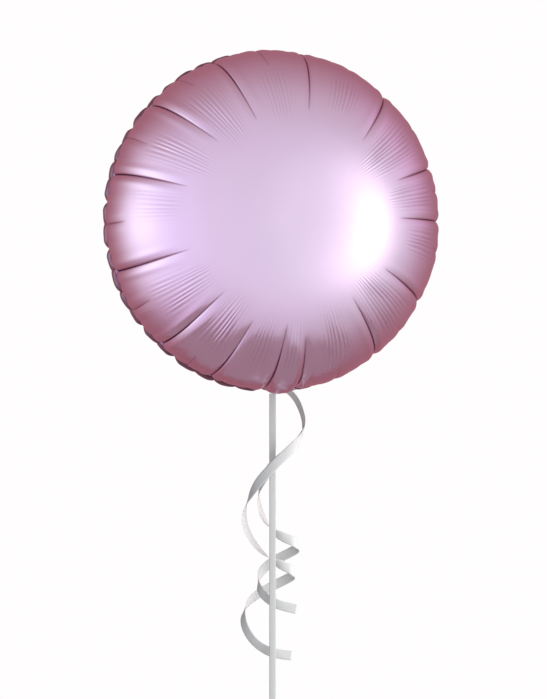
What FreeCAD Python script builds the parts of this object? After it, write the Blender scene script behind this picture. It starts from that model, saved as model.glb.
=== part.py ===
"""Round foil balloon on a hanging ribbon, as separate pieces: two film panels welded at the
rim, a valve in the neck, the tied ribbons and the loop they are held by. Millimetres, +Z up.
The origin is the centre of the hand loop, and the balloon's flat faces look along Y."""
import FreeCAD, Part
import math
import os
import Sketcher

V = FreeCAD.Vector

SIZES = {
    "film_radius": 172.5,  # from the balloon's axis to the inner edge of the weld
    "flange_width": 1.5,  # the welded rim outside the film
    "wall": 0.6,
    "valve_film": 0.2,
    "centre_height": 533.0,  # balloon centre above the hand loop's centre
    "neck_side": 11.0,  # how far the neck sits to +X of the balloon's axis
    "tie_setback": 45.0,  # how far the tie sits behind the weld
    "knot_height": 358.7,
    "tie_knot_radius": 2.8,
    "loop_knot_height": 16.5,
    "loop_knot_radius": 3.5,
    "knot_gap": 0.3,
    "ribbon_width": 7.0,
    "ribbon_thickness": 0.3,
    "curl_diameter": 2.5,
    "curl_turn": -14.0,  # degrees about the upright axis, from the routes as written
    "loop_radius": 12.0,
    "loop_thickness": 0.6,
    "loop_width": 7.0,
    "tail_angle": 10.0,  # the folded neck's rise towards the back
    "tail_drop": 1.7,  # how far below the film the neck is folded
    "fold_reach": 1.7,  # how far back the bend's own solid runs before the tail takes over
    "tail_root_width": 28.0,
    "tail_waist_width": 5.0,
    "tail_end_width": 24.0,
    "tail_length": 74.0,
    "valve_width": 24.0,
    "valve_reach": 90.0,  # how far the valve runs up inside the balloon
    "slot_gap": 0.1,
    "slot_side_gap": 0.3,
    "slot_top": 2.4,  # above the weld's inner edge
    "slot_length": 5.1,
    "wrap_inner_radius": 2.7,
    "wrap_outer_radius": 4.3,
    "wrap_length": 5.0,
}

# A filled round film bag's half section is a rim arc of half its radius and a flatter crown
# arc that meets it smoothly. All of these are fractions of the film radius.
RIM_ARC = 0.5
HALF_DEPTH = 0.599
BULGE = HALF_DEPTH - RIM_ARC
CROWN_CENTRE = (RIM_ARC**2 - BULGE**2) / (2 * BULGE)
CENTRES_APART = math.hypot(RIM_ARC, CROWN_CENTRE)
JOIN_ACROSS = RIM_ARC / CENTRES_APART
JOIN_ALONG = CROWN_CENTRE / CENTRES_APART

# The folded neck's outline: where the root ends, the tied waist begins and ends, and the cut
# end lies, as fractions of its length. The tail begins inside the bend by the overlap.
TAIL_STATIONS = (0.1, 0.52, 0.7, 1.0)
TAIL_OVERLAP = 0.6
VALVE_LENGTH = 0.9  # of the neck's length
VALVE_END = 0.6  # of the valve's own width

# The curling ribbons' routes from the tie knot's centre, before curl_turn turns them about
# its upright axis: to the right, away and up. Each turns in wide open curls.
LONG_CURL = [
    (4, 0, -1), (13, 0, 2), (22, 0, -5), (29, -2, -17), (34, -4, -32), (31, -6, -46),
    (22, -10, -58), (9, -13, -70), (-1, -14, -80), (-15, -9, -95), (-26, -1, -114),
    (-31, 5, -131), (-26, 8, -150), (-15, 10, -166), (0, 11, -178), (12, 11, -184), (22, 14, -189),
    (23, 23, -194), (13, 28, -200), (-1, 29, -207), (-15, 26, -214), (-28, 20, -225),
    (-32, 12, -239), (-26, 8, -255), (-14, 8, -268), (3, 10, -276), (20, 14, -278),
]
SHORT_CURL = [
    (4, 4, -1), (13, 4, 2), (22, 4, -5), (29, 3, -17), (33, 1, -32), (30, -2, -46),
    (21, -5, -60), (9, -8, -70), (-1, -8, -79), (-10, -3, -92), (-15, 2, -107),
    (-14, 6, -121), (-9, 9, -135),
    (0, 10, -147), (12, 11, -154), (24, 13, -159), (28, 22, -165), (19, 29, -171),
    (3, 31, -179), (-10, 26, -188), (-16, 18, -199), (-13, 11, -211), (-3, 8, -220),
    (11, 8, -226), (25, 11, -229),
]

document = FreeCAD.newDocument("foil_balloon")
sheet = document.addObject("Spreadsheet::Sheet", "sizes")
for row, (name, value) in enumerate(SIZES.items(), start=1):
    sheet.set(f"A{row}", name)
    sheet.set(f"B{row}", str(value))
    sheet.setAlias(f"B{row}", name)
document.recompute()


class Size:
    """A length worked out from the sheet: its value now, and the expression that keeps it."""

    def __init__(self, value, text):
        self.value = value
        self.text = text

    def __add__(self, other):
        other = as_size(other)
        return Size(self.value + other.value, f"({self.text} + {other.text})")

    def __sub__(self, other):
        other = as_size(other)
        return Size(self.value - other.value, f"({self.text} - {other.text})")

    def __mul__(self, other):
        other = as_size(other)
        return Size(self.value * other.value, f"({self.text} * {other.text})")

    def __neg__(self):
        return self * -1


def as_size(thing):
    return thing if isinstance(thing, Size) else Size(thing, f"({thing:.9g})")


def cell(name):
    return Size(sheet.get(name), f"sizes.{name}")


def set_size(owner, attribute, length):
    owner.setExpression(attribute, as_size(length).text)


def set_place(owner, where, attribute="Placement"):
    for axis, length in zip("xyz", where):
        set_size(owner, f"{attribute}.Base.{axis}", length)


def new_body(name):
    body = document.addObject("PartDesign::Body", name)
    body.Label = name
    return body


def new_sketch(body, name, role, shift=(0, 0, 0), tilt=None):
    """A sketch on one of the body's own origin planes, moved by shift and tilted about its x."""
    sketch = body.newObject("Sketcher::SketchObject", name)
    plane = [feature for feature in body.Origin.OriginFeatures if feature.Role == role][0]
    sketch.AttachmentSupport = [(plane, "")]
    sketch.MapMode = "FlatFace"
    if tilt is not None:
        turn = FreeCAD.Rotation(V(1, 0, 0), as_size(tilt).value)
        sketch.AttachmentOffset = FreeCAD.Placement(V(), turn)
        set_size(sketch, "AttachmentOffset.Rotation.Angle", tilt)
    set_place(sketch, shift, "AttachmentOffset")
    return sketch


def arc_between(start, end, radius, turn):
    """The arc of less than half a circle from start to end. A turn of 1 goes
    anticlockwise and -1 clockwise."""
    chord = end - start
    across = V(-chord.y, chord.x, 0).normalize()
    rise = math.sqrt(radius**2 - (chord.Length / 2) ** 2)
    centre = (start + end) * 0.5 + across * (turn * rise)
    first, last = (start, end) if turn > 0 else (end, start)
    angles = [math.atan2(point.y - centre.y, point.x - centre.x) for point in (first, last)]
    return Part.ArcOfCircle(Part.Circle(centre, V(0, 0, 1), radius), *angles)


def draw_outline(sketch, points, arcs=None):
    """Joins points into a closed outline whose corners and radii are tied to the sheet.
    arcs maps an edge's number to its radius and turn; the other edges are straight."""
    arcs = arcs or {}
    corners = [V(as_size(x).value, as_size(y).value, 0) for x, y in points]
    ends = []
    for edge, start in enumerate(corners):
        end = corners[(edge + 1) % len(corners)]
        if edge in arcs:
            radius, turn = arcs[edge]
            sketch.addGeometry(arc_between(start, end, radius.value, turn))
            ends.append((1, 2) if turn > 0 else (2, 1))
        else:
            sketch.addGeometry(Part.LineSegment(start, end))
            ends.append((1, 2))
    for edge, corner in enumerate(points):
        after = (edge + 1) % len(points)
        meet = Sketcher.Constraint("Coincident", edge, ends[edge][1], after, ends[after][0])
        sketch.addConstraint(meet)
        for kind, length in zip(("DistanceX", "DistanceY"), corner):
            length = as_size(length)
            tie = Sketcher.Constraint(kind, edge, ends[edge][0], length.value)
            index = sketch.addConstraint(tie)
            sketch.setExpression(f"Constraints[{index}]", length.text)
        if edge in arcs:
            radius = arcs[edge][0]
            index = sketch.addConstraint(Sketcher.Constraint("Radius", edge, radius.value))
            sketch.setExpression(f"Constraints[{index}]", radius.text)
    return sketch


def draw_ring(sketch, radii):
    for edge, radius in enumerate(radii):
        sketch.addGeometry(Part.Circle(V(), V(0, 0, 1), radius.value))
        sketch.addConstraint(Sketcher.Constraint("Coincident", edge, 3, -1, 1))
        index = sketch.addConstraint(Sketcher.Constraint("Radius", edge, radius.value))
        sketch.setExpression(f"Constraints[{index}]", radius.text)


def pad(body, name, sketch, length, cut=False, both_sides=False):
    feature = body.newObject("PartDesign::Pocket" if cut else "PartDesign::Pad", name)
    feature.Profile = sketch
    feature.Midplane = both_sides
    set_size(feature, "Length", length)
    sketch.Visibility = False
    return feature


def volume_after(body):
    document.recompute()
    return body.Shape.Volume


wall, film = cell("wall"), cell("valve_film")
radius, drop = cell("film_radius"), cell("tail_drop")
fold_reach = cell("fold_reach")
neck_side, tail_angle = cell("neck_side"), cell("tail_angle")
balloon_place = (-neck_side, -cell("tie_setback"), cell("centre_height"))
rise_sine = math.sin(math.radians(tail_angle.value))
rise_cosine = math.cos(math.radians(tail_angle.value))
rise_slope = rise_sine / rise_cosine


def fold_point(offset, setback):
    """The point of the folded neck's layer boundary that lies offset above its middle
    plane, at a distance behind the weld: how far back, and how high."""
    return setback, setback * rise_slope + offset * (1 / rise_cosine) - radius - drop


def draw_fold(body, name, low, high, top, width):
    """The bend of one layer between two boundaries: down the weld, then back into the tail."""
    sketch = new_sketch(body, name, "YZ_Plane", (0, 0, neck_side))
    corners = [(low, top), fold_point(low, low), fold_point(low, fold_reach),
               fold_point(high, fold_reach), fold_point(high, high), (high, top)]
    draw_outline(sketch, corners)
    return pad(body, name + "_pad", sketch, width, both_sides=True)


def draw_tail(body, name, low, thickness, root, end, length):
    """One layer of the folded neck, seen from above: wide at the weld, drawn in to a waist
    where it is tied, and spread again towards its cut end."""
    waist = cell("tail_waist_width") * (root.value / cell("tail_root_width").value)
    setback, height = fold_point(low, as_size(0))
    sketch = new_sketch(body, name, "XY_Plane", (neck_side, setback, height), tail_angle)
    begin = fold_reach * TAIL_OVERLAP
    half = [(root * 0.5, begin)]
    half += [(across * 0.5, length * along)
             for across, along in zip((root, waist, waist, end), TAIL_STATIONS)]
    other = [(-across, along) for across, along in reversed(half)]
    draw_outline(sketch, half + other)
    return pad(body, name + "_pad", sketch, thickness)


def make_panel(name, side):
    """One half of the balloon's skin. side is 1 at the back and -1 at the front."""
    body = new_body(name)
    flip = None if side > 0 else 180
    shell = new_sketch(body, name + "_section", "XY_Plane", tilt=flip)
    rim, crown = radius * RIM_ARC, radius * (CROWN_CENTRE + HALF_DEPTH)
    inner = rim - wall
    edge = radius + cell("flange_width")
    draw_outline(
        shell,
        [(0, radius * HALF_DEPTH), (rim + rim * JOIN_ACROSS, rim * JOIN_ALONG), (radius, wall),
         (edge, wall), (edge, 0), (radius - wall, 0),
         (rim + inner * JOIN_ACROSS, inner * JOIN_ALONG), (0, radius * HALF_DEPTH - wall)],
        {0: (crown, -1), 1: (rim, -1), 5: (inner, 1), 6: (crown - wall, 1)},
    )
    skin = body.newObject("PartDesign::Revolution", name + "_skin")
    skin.Profile = shell
    skin.ReferenceAxis = (shell, ["V_Axis"])
    skin.Angle = 360
    whole = volume_after(body)

    slot_depth = film + cell("slot_gap")
    slot_half = cell("valve_width") * 0.5 + cell("slot_side_gap")
    near, far = (0, slot_depth) if side > 0 else (-slot_depth, 0)
    slot = new_sketch(body, name + "_slot", "XY_Plane", (neck_side, 0, cell("slot_top") - radius))
    draw_outline(slot, [(-slot_half, near), (slot_half, near), (slot_half, far), (-slot_half, far)])
    pad(body, name + "_slot_cut", slot, cell("slot_length"), cut=True)
    if not volume_after(body) < whole:
        raise ValueError(f"{name}: the valve slot cuts nothing")

    low, high = (film, film + wall) if side > 0 else (-film - wall, -film)
    root = cell("tail_root_width")
    draw_fold(body, name + "_fold", low, high, -radius - wall, root)
    draw_tail(body, name + "_tail", low, wall, root, cell("tail_end_width"), cell("tail_length"))
    set_place(body, balloon_place)
    return body


def make_valve_film(name, side):
    body = new_body(name)
    low, high = (as_size(0), film) if side > 0 else (-film, as_size(0))
    width = cell("valve_width")
    draw_fold(body, name + "_fold", low, high, -radius + cell("valve_reach"), width)
    length = cell("tail_length") * VALVE_LENGTH
    draw_tail(body, name + "_tail", low, film, width, width * VALVE_END, length)
    set_place(body, balloon_place)
    return body


def make_neck_wrap():
    """The turns of ribbon round the gathered neck, as a short ring on the tail's slope."""
    body = new_body("neck_wrap")
    setback = cell("tie_setback")
    back, height = fold_point(as_size(0), setback)
    half_length = cell("wrap_length") * 0.5
    shift = (neck_side, height - half_length * rise_sine, half_length * rise_cosine - back)
    sketch = new_sketch(body, "neck_wrap_section", "XZ_Plane", shift, tail_angle)
    draw_ring(sketch, [cell("wrap_outer_radius"), cell("wrap_inner_radius")])
    ring = pad(body, "neck_wrap_ring", sketch, cell("wrap_length"))
    ring.Reversed = True
    set_place(body, balloon_place)
    return body


def make_hand_loop():
    """The band at the ribbon's lower end, which a finger or a hook goes through."""
    body = new_body("hand_loop")
    sketch = new_sketch(body, "hand_loop_section", "XZ_Plane")
    inner = cell("loop_radius")
    draw_ring(sketch, [inner + cell("loop_thickness"), inner])
    pad(body, "hand_loop_band", sketch, cell("loop_width"), both_sides=True)
    return body


def make_bead(name, height, size):
    bead = document.addObject("Part::Sphere", name)
    bead.Label = name
    set_size(bead, "Radius", size)
    set_place(bead, (0, 0, height))
    return bead


def make_straight_ribbon():
    """The flat ribbon between the two knots, clear of both so that each can turn."""
    strip = document.addObject("Part::Box", "straight_ribbon")
    strip.Label = "straight_ribbon"
    width, thickness, gap = cell("ribbon_width"), cell("ribbon_thickness"), cell("knot_gap")
    bottom = cell("loop_knot_height") + cell("loop_knot_radius") + gap
    top = cell("knot_height") - cell("tie_knot_radius") - gap
    set_size(strip, "Length", width)
    set_size(strip, "Width", thickness)
    set_size(strip, "Height", top - bottom)
    set_place(strip, (width * -0.5, thickness * -0.5, bottom))
    return strip


def rounded_path(name, corners):
    """Straight runs joined by tangent arcs, each as large as its two runs allow."""
    edges = []
    radii = []
    start = corners[0]
    for before, corner, after in zip(corners, corners[1:], corners[2:]):
        back, ahead = before - corner, after - corner
        setback = 0.45 * min(back.Length, ahead.Length)
        half_turn = (math.pi - back.getAngle(ahead)) / 2
        radii.append(setback / math.tan(half_turn))
        back.normalize()
        ahead.normalize()
        first, last = corner + back * setback, corner + ahead * setback
        bisector = (back + ahead).normalize()
        to_centre = math.hypot(setback, radii[-1])
        middle = corner + bisector * (to_centre - radii[-1])
        edges.append(Part.LineSegment(start, first).toShape())
        edges.append(Part.Arc(first, middle, last).toShape())
        start = last
    edges.append(Part.LineSegment(start, corners[-1]).toShape())
    print(f"{name}: arc radii {[round(r, 1) for r in radii]}")
    return Part.Wire(edges)


def make_curl(name, route):
    """A curling ribbon as a tube along its route, turned and set at the tie knot."""
    path = rounded_path(name, [V(*point) for point in route])
    tube_radius = cell("curl_diameter").value / 2
    direction = path.Edges[0].tangentAt(path.Edges[0].FirstParameter)
    ring = Part.Wire(Part.makeCircle(tube_radius, path.Edges[0].valueAt(0), direction))
    tube = path.makePipeShell([ring], True, True)
    section = math.pi * tube_radius**2
    print(f"{name}: length {path.Length:.1f}, volume ratio {tube.Volume / section / path.Length:.4f}")
    curl = document.addObject("Part::Feature", name)
    curl.Label = name
    curl.Shape = tube
    curl.Placement = FreeCAD.Placement(V(0, 0, 0), FreeCAD.Rotation(V(0, 0, 1), 0))
    set_place(curl, (0, 0, cell("knot_height")))
    set_size(curl, "Placement.Rotation.Angle", cell("curl_turn"))
    return curl


pieces = [
    make_panel("front_panel", -1),
    make_panel("back_panel", 1),
    make_valve_film("valve_front_film", -1),
    make_valve_film("valve_back_film", 1),
    make_neck_wrap(),
    make_bead("tie_knot", cell("knot_height"), cell("tie_knot_radius")),
    make_straight_ribbon(),
    make_curl("long_curl", LONG_CURL),
    make_curl("short_curl", SHORT_CURL),
    make_bead("loop_knot", cell("loop_knot_height"), cell("loop_knot_radius")),
    make_hand_loop(),
]
document.recompute()
for thing in document.Objects:
    if {"Invalid", "Error"} & set(thing.State):
        raise ValueError(f"{thing.Name} failed: {thing.State}")
for piece in pieces:
    if piece.Shape.isNull() or not piece.Shape.isValid():
        raise ValueError(f"{piece.Label} has no valid shape")

os.makedirs("parts", exist_ok=True)
for piece in pieces:
    piece.Shape.exportStep(f"parts/{piece.Label}.step")
    box = piece.Shape.BoundBox
    print(f"{piece.Label}: volume {piece.Shape.Volume:.0f}, solids {len(piece.Shape.Solids)}, "
          f"x {box.XMin:.1f}..{box.XMax:.1f}, y {box.YMin:.1f}..{box.YMax:.1f}, "
          f"z {box.ZMin:.1f}..{box.ZMax:.1f}")
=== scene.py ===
"""A round foil balloon on a ribbon: two welded film panels with radial creases, a tied neck,
two curled ribbons and a straight ribbon down to a hand loop, in plain studio light."""

import math

import bmesh
import bpy
import numpy as np
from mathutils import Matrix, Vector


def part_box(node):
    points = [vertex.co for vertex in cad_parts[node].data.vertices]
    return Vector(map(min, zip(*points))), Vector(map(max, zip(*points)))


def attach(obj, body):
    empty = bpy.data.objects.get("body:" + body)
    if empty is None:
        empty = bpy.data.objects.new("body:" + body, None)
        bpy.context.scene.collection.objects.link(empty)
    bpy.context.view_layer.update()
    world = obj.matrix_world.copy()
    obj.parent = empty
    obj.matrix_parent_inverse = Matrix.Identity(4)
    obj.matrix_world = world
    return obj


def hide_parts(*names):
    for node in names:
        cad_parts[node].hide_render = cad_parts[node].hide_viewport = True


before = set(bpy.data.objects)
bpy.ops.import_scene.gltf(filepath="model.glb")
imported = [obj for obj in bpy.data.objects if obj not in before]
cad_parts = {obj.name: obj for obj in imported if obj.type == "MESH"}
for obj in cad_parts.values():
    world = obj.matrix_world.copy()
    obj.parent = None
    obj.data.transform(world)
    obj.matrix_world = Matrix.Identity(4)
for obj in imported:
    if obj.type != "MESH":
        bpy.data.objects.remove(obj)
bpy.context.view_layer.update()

bl_info = {
    "name": "Foil balloon on a ribbon",
    "version": (1, 0, 0),
    "blender": (4, 5, 0),
    "location": "View3D > Sidebar > Foil Balloon",
    "description": "Builds a round foil balloon with its ribbons around a fixed frame",
    "category": "Add Mesh",
}

MM = 0.001

# ---------------------------------------------------------------- places, from the frame


def box_middle(node):
    low, high = (np.array(corner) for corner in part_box(node))
    return (low + high) / 2


def box_size(node):
    low, high = (np.array(corner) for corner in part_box(node))
    return high - low


KNOT = box_middle("tie_knot")
KNOT_RADIUS = box_size("tie_knot")[0] / 2
LOOP_KNOT = box_middle("loop_knot")
LOOP_KNOT_RADIUS = box_size("loop_knot")[0] / 2
LOOP = box_middle("hand_loop")
WRAP = box_middle("neck_wrap")
RIM_RADIUS = box_size("back_panel")[0] / 2
WELD_Y = float(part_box("back_panel")[0][1])
BALLOON = np.array([box_middle("back_panel")[0], WELD_Y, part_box("back_panel")[1][2] - RIM_RADIUS])
RIBBON_TOP = np.array([0.0, 0.0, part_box("straight_ribbon")[1][2]])
RIBBON_BOTTOM = np.array([0.0, 0.0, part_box("straight_ribbon")[0][2]])

# The curling ribbons' routes in metres from the tie knot's centre, before CURL_TURN turns them
# about its upright axis: to the right, away and up.
CURL_TURN = math.radians(-14)
# A curl's face is turned as if its turns were this many times wider side to side than front to
# back.
CURL_FLATNESS = 2.0
LONG_CURL = [
    (.004, .000, -.001), (.013, .000, .002), (.022, .000, -.005), (.029, -.002, -.017),
    (.034, -.004, -.032), (.031, -.006, -.046), (.022, -.010, -.058), (.009, -.013, -.070),
    (-.001, -.014, -.080), (-.015, -.009, -.095), (-.026, -.001, -.114), (-.031, .005, -.131),
    (-.026, .008, -.150), (-.015, .010, -.166), (.000, .011, -.178), (.012, .011, -.184),
    (.022, .014, -.189), (.023, .023, -.194), (.013, .028, -.200), (-.001, .029, -.207),
    (-.015, .026, -.214), (-.028, .020, -.225), (-.032, .012, -.239), (-.026, .008, -.255),
    (-.014, .008, -.268), (.003, .010, -.276), (.020, .014, -.278),
]
SHORT_CURL = [
    (.004, .004, -.001), (.013, .004, .002), (.022, .004, -.005), (.029, .003, -.017),
    (.033, .001, -.032), (.030, -.002, -.046), (.021, -.005, -.060), (.009, -.008, -.070),
    (-.001, -.008, -.079), (-.010, -.003, -.092), (-.015, .002, -.107), (-.014, .006, -.121),
    (-.009, .009, -.135), (.000, .010, -.147), (.012, .011, -.154), (.024, .013, -.159),
    (.028, .022, -.165), (.019, .029, -.171), (.003, .031, -.179), (-.010, .026, -.188),
    (-.016, .018, -.199), (-.013, .011, -.211), (-.003, .008, -.220), (.011, .008, -.226),
    (.025, .011, -.229),
]

# Main creases: angle in degrees anticlockwise from +X seen from the front, how far the crease
# runs in from the weld in millimetres, and how deep it is in millimetres.
FRONT_CREASES = [
    (0, 112, 2.6), (10, 52, 1.6), (19, 108, 2.7), (34, 44, 0.9), (49, 118, 2.8), (64, 46, 0.9),
    (81, 116, 2.7), (97, 60, 1.0), (112, 120, 2.7), (126, 48, 0.9), (138, 114, 2.6),
    (152, 52, 1.0), (165, 110, 2.5), (182, 44, 1.4), (198, 110, 2.5), (212, 48, 1.3),
    (227, 118, 2.7), (238, 42, 0.8), (247, 110, 2.6), (266, 114, 2.7), (277, 100, 2.7),
    (291, 46, 0.9), (307, 122, 2.8), (319, 48, 0.9), (331, 116, 2.7), (349, 52, 1.7),
]
BACK_CREASES = [
    (4, 110, 2.5), (16, 46, 1.2), (28, 114, 2.6), (43, 54, 1.2), (56, 118, 2.7), (71, 48, 1.0),
    (88, 112, 2.5), (103, 102, 2.4), (118, 52, 1.0), (132, 120, 2.7), (147, 106, 2.4),
    (160, 48, 1.2), (174, 114, 2.6), (190, 108, 2.5), (205, 52, 1.2), (219, 118, 2.7),
    (234, 110, 2.5), (250, 50, 1.0), (266, 112, 2.6), (277, 106, 2.6), (293, 52, 1.0),
    (309, 116, 2.6), (322, 50, 1.0), (338, 114, 2.6), (351, 46, 1.2),
]
# Fine puckers: centre angle, half spread in degrees, distance from the weld and half length
# in millimetres, and strength.
FRONT_PUCKERS = [
    (127, 7, 92, 34, 1.1), (152, 6, 92, 32, 1.0), (97, 6, 96, 30, 0.7), (66, 6, 84, 22, 1.2),
    (34, 8, 96, 34, 1.7), (10, 6, 88, 28, 1.4), (350, 6, 76, 22, 1.3), (318, 8, 92, 34, 1.7),
    (291, 6, 92, 34, 1.1), (271, 4, 88, 26, 0.9), (257, 5, 90, 28, 1.0), (237, 6, 92, 32, 1.1),
    (213, 7, 88, 30, 1.0), (176, 6, 82, 24, 0.6),
]
BACK_PUCKERS = [
    (16, 7, 92, 32, 0.9), (42, 7, 92, 30, 0.8), (72, 7, 92, 34, 1.0), (96, 5, 90, 28, 0.8),
    (125, 7, 92, 32, 0.9), (154, 6, 92, 30, 0.9), (182, 6, 90, 30, 0.8), (212, 7, 92, 32, 1.0),
    (242, 6, 90, 30, 0.9), (300, 6, 92, 32, 1.0), (330, 7, 92, 30, 0.9),
]

PANEL_COLUMNS = 1440
PINCH = 2.6 * MM  # how far the weld is drawn in below the film's shoulders
LONG_CREASE = 60  # creases longer than this, in millimetres, bound the film's broad lobes
PUCKER_RADIUS = 122.0  # millimetres from the axis at which the puckers' spacing is measured
PUCKER_SPACING = 3.7  # millimetres from one pucker to the next
NECK_LOBE = 271.7  # the middle of the lobe where the neck leaves, in the creases' degrees

# The folded neck, in millimetres: half its width at the weld, at the tied waist and at its cut
# end, its own width before it is gathered, and its length. It narrows and flares over these
# distances behind the weld.
NECK_START, WAIST, NECK_END = 14.0, 2.5, 11.5
NECK_FLAT_WIDTH = 28.0
NECK_LENGTH = 74
NARROWS = (2, 36)
FLARES = (52, NECK_LENGTH)
NECK_PLEATS = 4
NECK_ROOT = np.array([0.0, WELD_Y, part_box("valve_back_film")[0][2]])
NECK_SLOPE = math.atan2(WRAP[2] - NECK_ROOT[2], WRAP[1] - NECK_ROOT[1])

# Each panel's creases and puckers; the size of its rim scallops in degrees; the seed of its
# random draws; the scallops' height, for each degree of their width and size; how many
# millimetres further out the neck's lobe stands; and how much painted shade, in the dark fold
# colour, is laid on the film near the rim and on the weld.
FRONT_PANEL = {
    "creases": FRONT_CREASES, "puckers": FRONT_PUCKERS, "scallop": 5.2, "seed": 11,
    "scallop_height": 0.06, "neck_drop": 4.6, "rim_shade": 0.08, "weld_shade": 0.5,
}
BACK_PANEL = {
    "creases": BACK_CREASES, "puckers": BACK_PUCKERS, "scallop": 6.5, "seed": 12,
    "scallop_height": 0.085, "neck_drop": -1.0, "rim_shade": 1.0, "weld_shade": 1.0,
}


# ---------------------------------------------------------------- mesh helpers


def grid_faces(rows, columns, wrap=True):
    """Quads of a grid of rows by columns whose columns close on themselves if wrap is set."""
    r = np.arange(rows - 1)[:, None]
    c = np.arange(columns if wrap else columns - 1)[None, :]
    c_next = (c + 1) % columns
    quads = [r * columns + c, r * columns + c_next,
             (r + 1) * columns + c_next, (r + 1) * columns + c]
    return np.stack(np.broadcast_arrays(*quads), -1).reshape(-1, 4)


def new_object(name, points, faces, smooth=True, uv=None):
    """A mesh object at the origin from an array of points and a list of faces. uv holds one
    pair for each point."""
    mesh = bpy.data.meshes.new(name)
    mesh.from_pydata(np.asarray(points, float).reshape(-1, 3).tolist(), [], [list(f) for f in faces])
    mesh.polygons.foreach_set("use_smooth", [smooth] * len(mesh.polygons))
    if uv is not None:
        layer = mesh.uv_layers.new(name="UVMap")
        corners = np.empty(len(mesh.loops), dtype=np.int32)
        mesh.loops.foreach_get("vertex_index", corners)
        layer.data.foreach_set("uv", np.asarray(uv, np.float32).reshape(-1, 2)[corners].ravel())
    mesh.update()
    piece = bpy.data.objects.new(name, mesh)
    bpy.context.scene.collection.objects.link(piece)
    return piece


def set_painted_shade(piece, values):
    """Stores the painted shade on the film, from 0 to 1, which its material reads to mix in the dark fold
    colour.
    """
    painted_shade = piece.data.attributes.new("painted_shade", "FLOAT", "POINT")
    painted_shade.data.foreach_set("value", np.asarray(values, np.float32))


def unit(vectors):
    return vectors / np.maximum(np.linalg.norm(vectors, axis=-1, keepdims=True), 1e-12)


def smooth_step(low, high, value):
    t = np.clip((value - low) / (high - low), 0, 1)
    return t * t * (3 - 2 * t)


def nurbs_route(name, points):
    """A curve of one open NURBS spline of order 3 with the points as its control points."""
    curve = bpy.data.curves.new(name, "CURVE")
    curve.dimensions = "3D"
    curve.resolution_u = 24
    spline = curve.splines.new("NURBS")
    spline.points.add(len(points) - 1)
    spline.points.foreach_set("co", np.c_[points, np.ones(len(points))].ravel())
    spline.order_u = 3
    spline.use_endpoint_u = True
    return curve


def route_points(name, points):
    """Points along the route's NURBS spline, in order from its first control point."""
    curve = nurbs_route(name, points)
    holder = bpy.data.objects.new(name, curve)
    mesh = bpy.data.meshes.new_from_object(holder)
    line = np.empty(len(mesh.vertices) * 3)
    mesh.vertices.foreach_get("co", line)
    bpy.data.meshes.remove(mesh)
    bpy.data.objects.remove(holder)
    bpy.data.curves.remove(curve)
    return line.reshape(-1, 3)


def moving_mean(values, count):
    """The mean of each point's neighbours within count steps, with the ends held."""
    before, after = np.repeat(values[:1], count, 0), np.repeat(values[-1:], count, 0)
    padded = np.concatenate([before, values, after])
    total = np.cumsum(np.concatenate([np.zeros((1, values.shape[1])), padded]), axis=0)
    window = 2 * count + 1
    return (total[window:] - total[:-window]) / window


def ribbon_mesh(name, line, outward, width, thickness, cup=0.0, across=9):
    """A flat ribbon carried along a line; its width may change along it. At each point the
    width runs along tangent x outward; the section is a thin closed strip whose middle stands
    off by cup times a parabola."""
    tangent = unit(np.gradient(line, axis=0))
    outward = unit(outward - (outward * tangent).sum(1, keepdims=True) * tangent)
    side = np.cross(tangent, outward)
    q = np.linspace(-1, 1, across)
    crown = cup * (1 - q**2)
    edge = thickness * (1 - 0.5 * np.abs(q) ** 6) / 2
    lateral = np.concatenate([q, q[::-1]]) * np.broadcast_to(width, len(line))[:, None] / 2
    height = np.concatenate([crown + edge, (crown - edge)[::-1]])
    points = (line[:, None, :] + side[:, None, :] * lateral[..., None]
              + outward[:, None, :] * height[None, :, None])
    count, ring = len(line), 2 * across
    faces = [tuple(f) for f in grid_faces(count, ring)]
    faces = [f[::-1] for f in faces]
    faces.append(tuple(range(ring)))
    faces.append(tuple(range((count - 1) * ring, count * ring))[::-1])
    length = np.concatenate([[0], np.cumsum(np.linalg.norm(np.diff(line, axis=0), axis=1))])
    u = np.concatenate([q, q[::-1]]) * 0.5 + 0.5
    uv = np.stack(np.broadcast_arrays(u[None, :], (length / np.mean(width))[:, None]), -1)
    return new_object(name, points, faces, uv=uv)


def curl_object(name, route, width, thickness, turn_steps):
    """A curling ribbon. Its face looks away from the middle of its own curl, which is the
    route averaged over about a turn. A curl that is flatter front to back than side to side
    turns its face mostly to the front and back, by the square of CURL_FLATNESS. Towards its
    cut end the face turns square to the front or back, whichever it already looks to."""
    right = np.array([math.cos(CURL_TURN), math.sin(CURL_TURN), 0.0])
    away = np.array([-math.sin(CURL_TURN), math.cos(CURL_TURN), 0.0])
    line = route_points(name + "_route", KNOT + np.array(route) @ [right, away, [0.0, 0.0, 1.0]])
    outward = line - moving_mean(line, turn_steps)
    outward = outward + (outward @ away)[:, None] * away * (CURL_FLATNESS**2 - 1)
    end = smooth_step(0.92, 1.0, np.linspace(0, 1, len(line)))[:, None]
    before_end = outward[-len(line) // 8]
    open_face = away * np.sign(before_end @ away)
    outward = moving_mean(unit(outward) * (1 - end) + open_face * end, 8)
    return ribbon_mesh(name, line, outward, width, thickness, cup=0.25 * MM), line


# ---------------------------------------------------------------- the film panels


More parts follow.
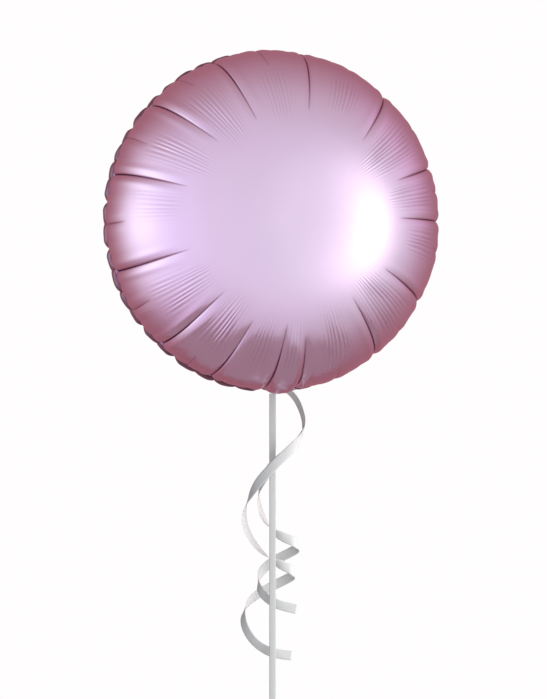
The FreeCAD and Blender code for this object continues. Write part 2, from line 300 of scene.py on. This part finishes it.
def film_table(radius, count=4000):
    """The section of a filled round film bag, from its crown to its weld. At slope p the
    distance from the axis is radius * sqrt(sin p) and the depth is half the radius times the
    integral of sqrt(sin) from p to a right angle. Returns arc length, distance, depth, slope."""
    t = np.linspace(0, math.sqrt(math.pi / 2), count)
    slope = t**2
    sine = np.sqrt(np.sin(slope))
    arc_rate = np.ones(count)
    arc_rate[1:] = t[1:] / sine[1:]
    step = t[1] - t[0]
    arc = np.concatenate([[0], np.cumsum((arc_rate[1:] + arc_rate[:-1]) / 2 * step)]) * radius
    rate = sine * t
    depth = np.concatenate([[0], np.cumsum((rate[1:] + rate[:-1]) / 2 * step)]) * radius
    return arc, radius * sine, depth[-1] - depth, slope


def arc_between(angle, centre):
    """The signed angle from centre to angle, in degrees, between -180 and 180."""
    return (angle - centre + 180) % 360 - 180


def lobes(angle, edges, power):
    """0 at each edge and 1 half way between neighbours: (4 t (1 - t)) to a power. Also gives
    each segment's width in degrees."""
    edges = np.sort(np.asarray(edges, float) % 360)
    wrapped = np.concatenate([edges, [edges[0] + 360]])
    shifted = np.where(angle % 360 < edges[0], angle % 360 + 360, angle % 360)
    index = np.clip(np.searchsorted(wrapped, shifted, side="right") - 1, 0, len(edges) - 1)
    width = wrapped[index + 1] - wrapped[index]
    t = np.clip((shifted - wrapped[index]) / width, 0, 1)
    return (4 * t * (1 - t)) ** power, width


def minor_edges(creases, size, random):
    """Splits each segment between creases into scallops of about a size in degrees."""
    angles = np.sort([crease[0] for crease in creases])
    edges = []
    for low, high in zip(angles, np.append(angles[1:], angles[0] + 360)):
        parts = max(1, int(round((high - low) / size)))
        cuts = np.linspace(low, high, parts + 1)[:-1]
        cuts[1:] += random.uniform(-0.15, 0.15, parts - 1) * size
        edges.extend(cuts)
    return np.array(edges)


def film_height(panel, from_weld, angle, distance, random):
    """How far the film stands off its smooth section in millimetres, and how much painted shade
    lies on it from 0 to 1, darkening the V grooves, the gaps between rim scallops and the
    puckers' troughs: a shoulder beyond the pinched weld, broad lobes between the long creases
    with rounded inner ends, V grooves along every crease, small scallops at the rim and fine
    puckers further in."""
    creases, scallop_size = panel["creases"], panel["scallop"]
    scallop_height, neck_drop = panel["scallop_height"], panel["neck_drop"]
    rise = 1 - np.exp(-from_weld / 3.5)
    height = PINCH / MM * rise * np.ones_like(angle)
    painted_shade_amount = np.zeros_like(height)
    long_creases = [crease[0] for crease in creases if crease[1] > LONG_CREASE]
    broad, width = lobes(angle, long_creases, 0.6)
    neck = np.exp(-(arc_between(angle, NECK_LOBE) / 5.0) ** 2)
    inner = from_weld - 14 * broad
    reach = 0.55 * (1 - smooth_step(10, 80, from_weld)) + 0.45 * (1 - smooth_step(62, 104, inner))
    height += (broad * (0.4 + width * 0.07 + neck * neck_drop) - 0.8) * rise * reach
    edges = minor_edges(creases, scallop_size, random)
    scallop, small = lobes(angle, edges, 0.6)
    rim_only = (1 - np.exp(-from_weld / 2.5)) * np.exp(-from_weld / (scallop_size * 2.2))
    height += scallop * small * scallop_height * scallop_size * rim_only
    # Painted shade: the dark fold colour in the gaps between the rim scallops.
    painted_shade_amount += 0.35 * np.exp(-(scallop * small) * 1.6) * np.exp(-from_weld / 5.0)
    for centre, length, depth in creases:
        along = np.clip(from_weld / length, 0, 1)
        bend = random.uniform(-1, 1) * 1.2 * along**2
        away = np.abs(arc_between(angle, centre + bend)) * math.pi / 180 * distance
        fade = (1 - along**3) * (1 - np.exp(-from_weld / 3.0))
        height -= depth * fade * (0.6 * np.exp(-away / 0.8) + 0.28 * np.exp(-away / 4.0))
        height += 0.3 * depth * fade * np.exp(-((away - 7.0) / 4.0) ** 2)
        # Painted shade and reflection: the dark fold colour along each crease's line.
        painted_shade_amount += 0.92 * min(depth / 2.4, 1.0) * fade**0.5 * np.exp(-(away / 0.75) ** 2)
    for centre, spread, middle, half, strength in panel["puckers"]:
        away = arc_between(angle, centre)
        bell = np.exp(-(away / spread) ** 4 - ((from_weld - middle) / half) ** 4)
        phase = np.radians(away) * PUCKER_RADIUS
        waver = 0.8 * np.sin(phase / 2.3 + random.uniform(0, 6))
        wave = np.cos(phase * 2 * math.pi / PUCKER_SPACING + waver)
        swell = 0.65 + 0.35 * np.cos(phase / 4.5 + from_weld / 12 + random.uniform(0, 6))
        height += 0.2 * strength * bell * wave * swell
        # Painted shade in the puckers' troughs.
        painted_shade_amount += 0.16 * strength * bell * np.clip(-wave, 0, 1)
    return height, np.clip(painted_shade_amount, 0, 1)


def column_angles(creases, columns):
    """Angles in degrees round the panel, closer together at the long creases: the inverse of
    the running total of a density that rises by a bell at each."""
    fine = np.linspace(0, 360, 14401)
    density = np.ones_like(fine)
    for centre, length, _ in creases:
        density += (3.0 if length > LONG_CREASE else 1.5) * np.exp(-(arc_between(fine, centre) / 0.7) ** 2)
    total = np.concatenate([[0], np.cumsum((density[1:] + density[:-1]) / 2)])
    return np.interp(np.linspace(0, total[-1], columns, endpoint=False), total, fine)


def rim_wave(angle):
    """How far the weld strays to the back or front of its plane, as a sum of three waves."""
    a = np.radians(angle)
    return (0.5 * np.sin(23 * a + 0.6) + 0.35 * np.sin(41 * a + 2.1) + 0.2 * np.sin(67 * a)) * MM


def panel_points(side, panel, weld_width, angle, rows):
    """One film panel on a polar grid: rows run from near the crown to the weld and columns
    round it. The height of the creases is added along the smooth section's normal. Returns
    the points and the amount of painted shade at each, with more laid near the weld."""
    random = np.random.default_rng(panel["seed"])
    arc, across, depth, slope = film_table(RIM_RADIUS - weld_width - PINCH)
    flat = arc[-1]
    at = flat * (1 - (1 - np.linspace(0.04, 1, rows)) ** 1.45)
    r, d, p = (np.interp(at, arc, column)[:, None] for column in (across, depth, slope))
    angle = angle[None, :]
    from_weld = (flat - at)[:, None] / MM
    height, painted_shade_amount = film_height(panel, from_weld, angle, r / MM, random)
    theta = np.radians(angle)
    normal = np.stack(np.broadcast_arrays(
        np.sin(p) * np.cos(theta), side * np.cos(p), np.sin(p) * np.sin(theta)), -1)
    base = np.stack(np.broadcast_arrays(r * np.cos(theta), side * d, r * np.sin(theta)), -1)
    points = base + normal * height[..., None] * MM
    points[..., 1] += rim_wave(angle) * np.exp(-from_weld / 6.0)
    # Painted shade: the dark fold colour laid on the film near the weld, fading inward.
    near_weld = panel["rim_shade"] * np.exp(-from_weld / 9.0)
    return points + BALLOON, np.clip(painted_shade_amount + near_weld, 0, 1)


def make_panel(name, node, side, panel, weld_width, rows):
    """A film panel with its half of the welded rim, which ends in a closed edge."""
    angle = column_angles(panel["creases"], PANEL_COLUMNS)
    points, painted_shade_amount = panel_points(side, panel, weld_width, angle, rows)
    theta = np.radians(angle)
    out = np.stack([np.cos(theta), np.zeros_like(theta), np.sin(theta)], -1)
    weld = points[-1]
    stand = np.array([0, side * 0.12 * MM, 0])
    edge = [weld + out * weld_width * 0.3 + stand, weld + out * weld_width + stand,
            weld + out * weld_width]
    points = np.concatenate([points, edge])
    # Painted shade on the welded rim's edge rows.
    painted_shade_amount = np.concatenate([painted_shade_amount, np.full((3, PANEL_COLUMNS), panel["weld_shade"])])
    crown = points[0].mean(axis=0)
    faces = grid_faces(len(points), PANEL_COLUMNS)
    ring = np.arange(PANEL_COLUMNS)
    fan = np.stack([np.full(PANEL_COLUMNS, points.shape[0] * PANEL_COLUMNS),
                    (ring + 1) % PANEL_COLUMNS, ring], -1)
    if side > 0:
        faces, fan = faces[:, ::-1], fan[:, ::-1]
    piece = new_object(name, np.concatenate([points.reshape(-1, 3), crown[None]]),
                       [tuple(face) for face in faces] + [tuple(face) for face in fan])
    set_painted_shade(piece, np.append(painted_shade_amount.ravel(), 0.0))
    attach(piece, "balloon")
    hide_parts(node)
    return piece


# ---------------------------------------------------------------- the gathered neck


def gathered_width(s):
    """Half the neck's width in millimetres, s millimetres behind the weld: it narrows to the
    tied waist and flares again to the cut end."""
    inward = NECK_START + (WAIST - NECK_START) * smooth_step(*NARROWS, s)
    return inward + (NECK_END - WAIST) * smooth_step(*FLARES, s)


def pleat_height(s, q):
    """The pleats' height that keeps the film's own width while it is gathered into less."""
    half = gathered_width(s)
    stretch = np.maximum((NECK_FLAT_WIDTH / (2 * half)) ** 2 - 1, 0)
    size = np.sqrt(2 * stretch) * half / (math.pi * NECK_PLEATS)
    waver = 0.5 * np.sin(2.7 * q + s * 0.03)
    return np.minimum(size, 2.0) * np.cos(math.pi * NECK_PLEATS * q + waver)


def neck_points(s, q, lift):
    """The folded neck: from the weld it turns back and rises at the tail's slope, tied where
    the wrap sits. s and lift are in millimetres and q runs from -1 to 1 across the film."""
    s, q = np.broadcast_arrays(s[:, None], q[None, :])
    half = gathered_width(s)
    pleat = pleat_height(s, q) + lift * (0.2 + 0.8 * smooth_step(0, 8, s))
    cos, sin = math.cos(NECK_SLOPE), math.sin(NECK_SLOPE)
    laid = np.stack([half * q * MM,
                     NECK_ROOT[1] + (s * cos - pleat * sin) * MM,
                     NECK_ROOT[2] + (s * sin + pleat * cos) * MM], -1)
    rim = np.sqrt(RIM_RADIUS**2 - (laid[..., 0] - BALLOON[0]) ** 2)
    root = np.stack([laid[..., 0], np.full(s.shape, WELD_Y), BALLOON[2] - rim], -1)
    blend = smooth_step(0, 7, s)[..., None]
    return root + (laid - root) * blend


def sheet_mesh(name, points, thickness):
    """A thin closed film from a grid of points, with its two faces joined round the edge."""
    rows, columns = points.shape[:2]
    along, across = np.gradient(points, axis=0), np.gradient(points, axis=1)
    normal = unit(np.cross(along, across)) * thickness / 2
    top = grid_faces(rows, columns, wrap=False)
    count = rows * columns
    rim = np.concatenate([np.arange(columns), np.arange(2, rows + 1) * columns - 1,
                          count - 2 - np.arange(columns - 1),
                          np.arange(rows - 2, 0, -1) * columns])
    after = np.roll(rim, -1)
    wall = np.stack([rim, rim + count, after + count, after], -1)
    both = np.concatenate([points + normal, points - normal])
    u, v = np.meshgrid(np.linspace(0, 1, columns), np.linspace(0, rows / columns, rows))
    uv = np.tile(np.stack([u, v], -1).reshape(-1, 2), (2, 1))
    faces = [tuple(f) for f in np.concatenate([top[:, ::-1], top + count, wall[:, ::-1]])]
    piece = new_object(name, both, faces, uv=uv)
    modelled = bmesh.new()
    modelled.from_mesh(piece.data)
    bmesh.ops.recalc_face_normals(modelled, faces=modelled.faces)
    modelled.to_mesh(piece.data)
    modelled.free()
    return piece


def make_neck_ply(name, lift):
    """One panel's layer of the folded and gathered neck."""
    s = np.concatenate([np.linspace(0, 8, 17), np.linspace(9, NECK_LENGTH, 80)])
    piece = sheet_mesh(name, neck_points(s, np.linspace(-1, 1, 97), lift), 0.12 * MM)
    set_painted_shade(piece, np.zeros(len(piece.data.vertices)))
    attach(piece, "balloon")
    return piece


def make_valve_film(name, node, lift):
    """One layer of the valve: flat up inside the balloon, then out through the gathered neck."""
    low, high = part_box(node)
    inside = np.linspace(high[2], NECK_ROOT[2] + 4 * MM, 40)
    q = np.linspace(-1, 1, 61)
    ripple = 0.15 * MM * np.sin(inside / (9 * MM))
    x = q[None, :] * (high[0] - low[0]) / 2 * np.ones((len(inside), 1))
    flat = np.stack([x, np.broadcast_to((WELD_Y + ripple + lift * 0.4 * MM)[:, None], x.shape),
                     np.broadcast_to(inside[:, None], x.shape)], -1)
    s = np.linspace(4, (high[1] - NECK_ROOT[1]) / MM, 70)
    share = 0.84  # of the neck's width
    out = neck_points(s, q * share, lift)
    piece = sheet_mesh(name, np.concatenate([flat, out]), 0.06 * MM)
    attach(piece, "balloon")
    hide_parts(node)
    return piece


def make_neck_wrap(name, width, thickness):
    """Turns of ribbon wound on one another round the neck's waist, with a short end."""
    turns = 4.5
    t = np.linspace(0, 1, 420)
    turn = t * 2 * math.pi * turns
    radius = (2.75 + 1.2 * t) * MM
    shift = 1.15 * MM * np.sin(turn / 2.3)
    cos, sin = math.cos(NECK_SLOPE), math.sin(NECK_SLOPE)
    axis = np.array([0, cos, sin])
    up = np.array([0, -sin, cos])
    outward = np.cos(turn)[:, None] * np.array([1.0, 0, 0]) + np.sin(turn)[:, None] * up
    line = WRAP + outward * radius[:, None] + axis * shift[:, None]
    piece = ribbon_mesh(name, line, outward, width, thickness)
    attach(piece, "balloon")
    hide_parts("neck_wrap")
    return piece


def make_knot(name, node, middle, radius, body, thickness):
    """An overhand knot pulled tight: a ribbon round a trefoil, which is
    (sin t + 2 sin 2t, cos t - 2 cos 2t, -sin 3t) with its height drawn out 1.6 times."""
    t = np.linspace(0, 2 * math.pi, 260)
    wind = np.stack([np.sin(t) + 2 * np.sin(2 * t), np.cos(t) - 2 * np.cos(2 * t),
                     -1.6 * np.sin(3 * t)], -1)
    line = middle + wind * radius * 0.23
    outward = moving_mean(unit(line - middle), 4)
    piece = ribbon_mesh(name, line, outward, radius * 0.85, thickness, cup=radius * 0.12)
    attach(piece, body)
    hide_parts(node)
    return piece


def make_hand_loop(name, thickness):
    """The band at the bottom: its two ends narrow and meet in the knot above it."""
    low, high = (np.array(corner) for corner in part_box("hand_loop"))
    radius = (high[0] - low[0]) / 2 - thickness
    phi = np.radians(np.linspace(3, 357, 240))
    gather = np.exp(-(np.minimum(phi, 2 * math.pi - phi) / math.radians(11)) ** 2)
    rise = (LOOP_KNOT[2] - LOOP_KNOT_RADIUS * 0.5 - LOOP[2] - radius) * gather
    line = LOOP + np.stack([radius * np.sin(phi), 0 * phi, radius * np.cos(phi) + rise], -1)
    outward = np.stack([np.sin(phi), 0 * phi, np.cos(phi)], -1)
    width = (high[1] - low[1]) * (1 - 0.55 * gather)
    piece = ribbon_mesh(name, line, outward, width, thickness, cup=0.1 * MM)
    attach(piece, "loop")
    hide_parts("hand_loop")
    return piece


# ---------------------------------------------------------------- materials


class Value:
    """A number socket in a shader, with Python's operators adding its Math nodes."""

    def __init__(self, tree, socket):
        self.tree = tree
        self.socket = socket

    def math(self, operation, *others):
        return Value(self.tree, add_node(
            self.tree, "ShaderNodeMath", {"operation": operation}, [self, *others]).outputs[0])

    def __add__(self, other):
        return self.math("ADD", other)

    def __mul__(self, other):
        return self.math("MULTIPLY", other)

    def __sub__(self, other):
        return self.math("SUBTRACT", other)

    def __rsub__(self, other):
        return Value(self.tree, add_node(
            self.tree, "ShaderNodeMath", {"operation": "SUBTRACT"}, [other, self]).outputs[0])

    def __pow__(self, other):
        return self.math("POWER", other)

    __radd__ = __add__


def add_node(tree, kind, settings=None, inputs=()):
    """A node of a type with its settings made first and then its sockets set or linked."""
    node = tree.nodes.new(kind)
    for key, value in (settings or {}).items():
        setattr(node, key, value)
    pairs = inputs.items() if isinstance(inputs, dict) else enumerate(inputs)
    for key, value in pairs:
        if isinstance(value, Value):
            value = value.socket
        if isinstance(value, bpy.types.NodeSocket):
            tree.links.new(value, node.inputs[key])
        else:
            node.inputs[key].default_value = value
    return node


def new_material(name):
    material = bpy.data.materials.new(name)
    material.use_nodes = True
    tree = material.node_tree
    tree.nodes.clear()
    shader = add_node(tree, "ShaderNodeBsdfPrincipled")
    add_node(tree, "ShaderNodeOutputMaterial", inputs={"Surface": shader.outputs[0]})
    return material, tree, shader


def noise(tree, where, scale, detail=2.0, stretch=None):
    """Noise on a coordinate, from 0 to 1. scale is in cycles a metre."""
    if stretch is not None:
        sockets = {"Vector": where, "Scale": stretch}
        where = add_node(tree, "ShaderNodeMapping", {}, sockets).outputs[0]
    sockets = {"Vector": where, "Scale": scale, "Detail": detail}
    node = add_node(tree, "ShaderNodeTexNoise", {}, sockets)
    return Value(tree, node.outputs["Fac"])


def blend_colours(tree, factor, first, second):
    node = add_node(tree, "ShaderNodeMix", {"data_type": "RGBA"})
    tree.links.new(factor.socket, node.inputs["Factor"])
    node.inputs[6].default_value = (*first, 1)
    node.inputs[7].default_value = (*second, 1)
    return node.outputs[2]


def foil_material(settings):
    """Metallised film with a thin pink lacquer: a metal with faint cloudiness in its colour and
    sheen, and a very fine film ripple."""
    material, tree, shader = new_material("pink_metallised_film")
    place = add_node(tree, "ShaderNodeTexCoord").outputs["Object"]
    cloud = noise(tree, place, 14.0, 3.0)
    pink = tuple(settings.foil_colour)
    clouded = blend_colours(tree, cloud, tuple(channel * 0.93 for channel in pink), pink)
    # Painted shade and reflection: the attribute mixes the dark fold colour into the creases, scallop
    # gaps, pucker troughs, rim and weld.
    painted_shade = add_node(tree, "ShaderNodeAttribute", {"attribute_name": "painted_shade"}).outputs["Fac"]
    mixed = add_node(tree, "ShaderNodeMix", {"data_type": "RGBA"})
    tree.links.new(painted_shade, mixed.inputs["Factor"])
    tree.links.new(clouded, mixed.inputs[6])
    mixed.inputs[7].default_value = (*settings.painted_shade_colour, 1)
    tree.links.new(mixed.outputs[2], shader.inputs["Base Color"])
    shader.inputs["Metallic"].default_value = 1.0
    shader.inputs["Specular Tint"].default_value = (0.96, 0.87, 0.94, 1)
    grain = noise(tree, place, 900.0, 2.0)
    roughness = settings.foil_roughness + cloud * 0.05
    tree.links.new(roughness.socket, shader.inputs["Roughness"])
    ripple = noise(tree, place, 60.0, 2.0) * 0.6 + grain * 0.05
    bump = add_node(tree, "ShaderNodeBump", {},
                    {"Strength": 0.12, "Distance": 0.6 * MM, "Height": ripple})
    tree.links.new(bump.outputs[0], shader.inputs["Normal"])
    return material


def ribbon_material(name, colour, roughness):
    """Satin ribbon: fine lengthwise lines drawn in the film, and a slight change of shade."""
    material, tree, shader = new_material(name)
    along = add_node(tree, "ShaderNodeTexCoord").outputs["UV"]
    lines = noise(tree, along, 9.0, 3.0, stretch=(12.0, 0.35, 1.0))
    deep = tuple(channel * 0.86 for channel in colour)
    tree.links.new(blend_colours(tree, lines, deep, colour), shader.inputs["Base Color"])
    tree.links.new((roughness + lines * 0.12).socket, shader.inputs["Roughness"])
    bump = add_node(tree, "ShaderNodeBump", {},
                    {"Strength": 0.25, "Distance": 0.1 * MM, "Height": lines})
    tree.links.new(bump.outputs[0], shader.inputs["Normal"])
    return material


def valve_material():
    """Clear, faintly clouded valve film."""
    material, tree, shader = new_material("valve_film_clear")
    place = add_node(tree, "ShaderNodeTexCoord").outputs["Object"]
    haze = noise(tree, place, 120.0, 3.0)
    tree.links.new(blend_colours(tree, haze, (0.78, 0.76, 0.77), (0.9, 0.89, 0.9)),
                   shader.inputs["Base Color"])
    tree.links.new((0.22 + haze * 0.15).socket, shader.inputs["Roughness"])
    return material


def plain_material(name, colour, roughness):
    material, tree, shader = new_material(name)
    place = add_node(tree, "ShaderNodeTexCoord").outputs["Object"]
    speck = noise(tree, place, 3.0, 2.0)
    deep = tuple(channel * 0.98 for channel in colour)
    tree.links.new(blend_colours(tree, speck, deep, colour), shader.inputs["Base Color"])
    shader.inputs["Roughness"].default_value = roughness
    return material


# ---------------------------------------------------------------- settings


class FoilBalloonSettings(bpy.types.PropertyGroup):
    weld_width: bpy.props.FloatProperty(
        name="Weld width", description="How far the welded rim stands outside the film",
        default=1.5 * MM, unit="LENGTH")
    foil_colour: bpy.props.FloatVectorProperty(
        name="Foil colour", description="Colour of the metallised film",
        default=(0.75, 0.50, 0.66), subtype="COLOR", min=0, max=1)
    # Painted shade and reflection: this dark colour is laid into the creases, rim scallops, weld and
    # pucker troughs, where the film would mirror itself and lie in shade.
    painted_shade_colour: bpy.props.FloatVectorProperty(
        name="Fold colour", description="Colour deep in a crease, where the film mirrors itself",
        default=(0.09, 0.012, 0.03), subtype="COLOR", min=0, max=1)
    foil_roughness: bpy.props.FloatProperty(
        name="Foil roughness", description="How satin the film is", default=0.2, subtype="FACTOR")


class BalloonRibbonSettings(bpy.types.PropertyGroup):
    straight_width: bpy.props.FloatProperty(
        name="Straight ribbon width", description="Width of the ribbon that holds the balloon",
        default=float(box_size("straight_ribbon")[0]), unit="LENGTH")
    curl_width: bpy.props.FloatProperty(
        name="Curl width", description="Width of the curling ribbon",
        default=10 * MM, unit="LENGTH")
    thickness: bpy.props.FloatProperty(
        name="Thickness", description="Thickness of every ribbon", default=0.25 * MM, unit="LENGTH")
    straight_colour: bpy.props.FloatVectorProperty(
        name="Straight ribbon colour", description="Colour of the straight ribbon",
        default=(0.66, 0.65, 0.64), subtype="COLOR", min=0, max=1)
    curl_colour: bpy.props.FloatVectorProperty(
        name="Curl colour", description="Colour of the curling ribbon",
        default=(0.84, 0.82, 0.80), subtype="COLOR", min=0, max=1)


# ---------------------------------------------------------------- operators


class BALLOON_OT_camera(bpy.types.Operator):
    """Puts the camera level with the lower part of the balloon, a little to the left of it"""
    bl_idname = "balloon.camera"
    bl_label = "Camera"

    def execute(self, context):
        azimuth = math.radians(-14)
        look = np.array([-math.sin(azimuth), math.cos(azimuth), 0.0])
        right = np.array([math.cos(azimuth), math.sin(azimuth), 0.0])
        aim = right * MM + np.array([0, 0, 0.4015])
        data = bpy.data.cameras.new("camera")
        data.sensor_fit = "AUTO"
        data.sensor_width = 36
        distance, view_height = 2.6, 0.7285
        data.lens = data.sensor_width * distance / view_height
        camera = bpy.data.objects.new("camera", data)
        camera.location = aim - look * distance
        camera.rotation_euler = (math.pi / 2, 0, azimuth)
        context.scene.collection.objects.link(camera)
        context.scene.camera = camera
        return {"FINISHED"}


class BALLOON_OT_ribbons(bpy.types.Operator):
    """Makes the straight ribbon and the two curling ribbons"""
    bl_idname = "balloon.ribbons"
    bl_label = "Ribbons"

    def execute(self, context):
        settings = context.scene.balloon_ribbons
        straight_film = ribbon_material("straight_ribbon_satin",
                                        tuple(settings.straight_colour), 0.32)
        curl_film = ribbon_material("curling_ribbon_satin", tuple(settings.curl_colour), 0.28)
        steps = np.linspace(0, 1, 24)[:, None]
        line = route_points("straight_route", RIBBON_TOP + (RIBBON_BOTTOM - RIBBON_TOP) * steps)
        facing = np.tile([0.0, -1.0, 0.0], (len(line), 1))
        strip = ribbon_mesh("straight_ribbon_strip", line, facing, settings.straight_width,
                            settings.thickness, cup=0.2 * MM)
        strip.data.materials.append(straight_film)
        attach(strip, "ribbon")
        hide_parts("straight_ribbon")
        knot = make_knot("loop_knot_ribbon", "loop_knot", LOOP_KNOT, LOOP_KNOT_RADIUS, "knot",
                         settings.thickness)
        loop = make_hand_loop("hand_loop_band", settings.thickness)
        for piece in (knot, loop):
            piece.data.materials.append(straight_film)
        for name, route, body, turn in (("long_curl", LONG_CURL, "long_curl_ribbon", 130),
                                        ("short_curl", SHORT_CURL, "short_curl_ribbon", 120)):
            curl, line = curl_object(name + "_strip", route, settings.curl_width,
                                     settings.thickness, turn)
            curl.data.materials.append(curl_film)
            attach(curl, body)
            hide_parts(name)
        return {"FINISHED"}


class BALLOON_OT_foil(bpy.types.Operator):
    """Makes the front and back film panels with their creases"""
    bl_idname = "balloon.foil"
    bl_label = "Foil panels"

    def execute(self, context):
        settings = context.scene.foil_balloon
        film = foil_material(settings)
        front = make_panel("foil_front", "front_panel", -1, FRONT_PANEL, settings.weld_width, 64)
        back = make_panel("foil_back", "back_panel", 1, BACK_PANEL, settings.weld_width, 60)
        for panel in (front, back):
            panel.data.materials.append(film)
        return {"FINISHED"}


class BALLOON_OT_neck(bpy.types.Operator):
    """Makes the folded neck, the valve in it and the ribbon that ties it"""
    bl_idname = "balloon.neck"
    bl_label = "Neck and valve"

    def execute(self, context):
        ribbons = context.scene.balloon_ribbons
        film = bpy.data.materials["pink_metallised_film"]
        for name, lift in (("neck_front_ply", -0.5), ("neck_back_ply", 0.5)):
            make_neck_ply(name, lift).data.materials.append(film)
        clear = valve_material()
        for name, node, lift in (("valve_front_layer", "valve_front_film", -0.17),
                                 ("valve_back_layer", "valve_back_film", 0.17)):
            make_valve_film(name, node, lift).data.materials.append(clear)
        wrap = make_neck_wrap("neck_wrap_turns", 1.8 * MM, ribbons.thickness)
        wrap.data.materials.append(bpy.data.materials["straight_ribbon_satin"])
        knot = make_knot("tie_knot_ribbon", "tie_knot", KNOT, KNOT_RADIUS, "tie",
                         ribbons.thickness)
        knot.data.materials.append(bpy.data.materials["curling_ribbon_satin"])
        return {"FINISHED"}


class BALLOON_OT_studio(bpy.types.Operator):
    """Makes the pale floor and the soft studio light that the foil reflects"""
    bl_idname = "balloon.studio"
    bl_label = "Studio"

    def execute(self, context):
        scene = context.scene
        scene.view_settings.view_transform = "Standard"
        radius, height, corners = 1.1, -0.9, 96
        theta = np.linspace(0, 2 * math.pi, corners, endpoint=False)
        edge = np.stack([radius * np.cos(theta), radius * np.sin(theta),
                         np.full(corners, height)], -1)
        floor = new_object("floor", edge, [tuple(range(corners))], smooth=False)
        floor.data.materials.append(plain_material("pale_floor", (0.86, 0.68, 0.70), 0.6))
        scene.world = surroundings()
        return {"FINISHED"}


def direction(azimuth, elevation):
    """A unit direction. Azimuth is degrees from the balloon's front axis towards +X."""
    a, e = math.radians(azimuth), math.radians(elevation)
    return (math.sin(a) * math.cos(e), -math.cos(a) * math.cos(e), math.sin(e))


def soft_light(tree, way, azimuth, elevation, spread, strength):
    """A round soft light in the surroundings: strength times exp((cosine - 1) / spread^2)
    of the angle from its middle, with the spread in degrees."""
    cosine = Value(tree, add_node(tree, "ShaderNodeVectorMath", {"operation": "DOT_PRODUCT"},
                                  [way, direction(azimuth, elevation)]).outputs["Value"])
    fall = ((cosine - 1) * (1 / math.radians(spread) ** 2)).math("EXPONENT", 0.0)
    return [fall * part for part in strength]


def surroundings():
    """White behind the balloon for the camera. For light and reflections, a studio that is
    brightest in front, dim and warm at the sides, behind and below, with a strong soft light
    to the right of the camera, a wider one to the left and fainter, cooler ones beside them.
    Matt things get a plain white light that is strongest from the right."""
    world = bpy.data.worlds.new("studio")
    world.use_nodes = True
    tree = world.node_tree
    tree.nodes.clear()
    way = add_node(tree, "ShaderNodeTexCoord").outputs["Generated"]
    parts = add_node(tree, "ShaderNodeSeparateXYZ", {}, [way])
    y, z = Value(tree, parts.outputs[1]), Value(tree, parts.outputs[2])
    front = (0.5 - y * 0.5) ** 1.7
    depth = (z * -1 - 0.3).math("MAXIMUM", 0.0)
    lights = [
        soft_light(tree, way, 41, -1, 10.5, (1.7, 1.7, 1.6)),
        soft_light(tree, way, 33, 0, 15, (0.0, 0.1, 0.12)),
        soft_light(tree, way, 55, 0, 20, (0.14, 0.36, 0.3)),
        soft_light(tree, way, 84, 14, 18, (0.18, 0.16, 0.26)),
        soft_light(tree, way, -90, 0, 20, (0.75, 1.15, 1.1)),
        soft_light(tree, way, -58, 0, 27, (0.26, 0.36, 0.52)),
        soft_light(tree, way, 90, 24, 18, (0.1, 0.05, 0.1)),
        soft_light(tree, way, 20, -42, 20, (0.15, 0.23, 0.24)),
        soft_light(tree, way, -62, -46, 24, (0.15, 0.15, 0.24)),
    ]
    channels = []
    for part, (dim, bright, sink) in enumerate(zip(
            (0.45, 0.22, 0.235), (0.93, 1.07, 1.11), (0.45, 0.62, 0.6))):
        level = (front * (bright - dim) + dim) * (1 - depth * sink)
        channels.append(sum((light[part] for light in lights), level))
    colour = add_node(tree, "ShaderNodeCombineColor", {}, channels).outputs[0]
    mirrored = add_node(tree, "ShaderNodeBackground", {}, {"Color": colour, "Strength": 1.0})
    side = Value(tree, add_node(tree, "ShaderNodeVectorMath", {"operation": "DOT_PRODUCT"},
                                [way, direction(58, 0)]).outputs["Value"])
    soft = (side * 0.5 + 0.5) ** 5.0 * 3.0 + 0.1
    scattered = add_node(tree, "ShaderNodeBackground", {}, {"Strength": soft})
    scattered.inputs["Color"].default_value = (1, 1, 1, 1)
    path = add_node(tree, "ShaderNodeLightPath")
    inner = add_node(tree, "ShaderNodeMixShader", {},
                     [path.outputs["Is Diffuse Ray"], mirrored.outputs[0], scattered.outputs[0]])
    outer = add_node(tree, "ShaderNodeBackground", {},
                     {"Color": (1, 0.985, 0.99, 1), "Strength": 1.0})
    mix = add_node(tree, "ShaderNodeMixShader", {},
                   [path.outputs["Is Camera Ray"], inner.outputs[0], outer.outputs[0]])
    add_node(tree, "ShaderNodeOutputWorld", {}, {"Surface": mix.outputs[0]})
    return world


class BALLOON_PT_sidebar(bpy.types.Panel):
    bl_label = "Foil Balloon"
    bl_idname = "BALLOON_PT_sidebar"
    bl_space_type = "VIEW_3D"
    bl_region_type = "UI"
    bl_category = "Foil Balloon"

    def draw(self, context):
        for operator in OPERATORS:
            self.layout.operator(operator.bl_idname)


OPERATORS = (BALLOON_OT_camera, BALLOON_OT_ribbons, BALLOON_OT_foil, BALLOON_OT_neck,
             BALLOON_OT_studio)
CLASSES = (FoilBalloonSettings, BalloonRibbonSettings, *OPERATORS, BALLOON_PT_sidebar)


def register():
    for item in CLASSES:
        bpy.utils.register_class(item)
    bpy.types.Scene.foil_balloon = bpy.props.PointerProperty(type=FoilBalloonSettings)
    bpy.types.Scene.balloon_ribbons = bpy.props.PointerProperty(type=BalloonRibbonSettings)


def unregister():
    del bpy.types.Scene.balloon_ribbons
    del bpy.types.Scene.foil_balloon
    for item in reversed(CLASSES):
        bpy.utils.unregister_class(item)


def main():
    register()
    for operator in OPERATORS:
        category, name = operator.bl_idname.split(".")
        getattr(getattr(bpy.ops, category), name)()


if __name__ == "__main__":
    main()
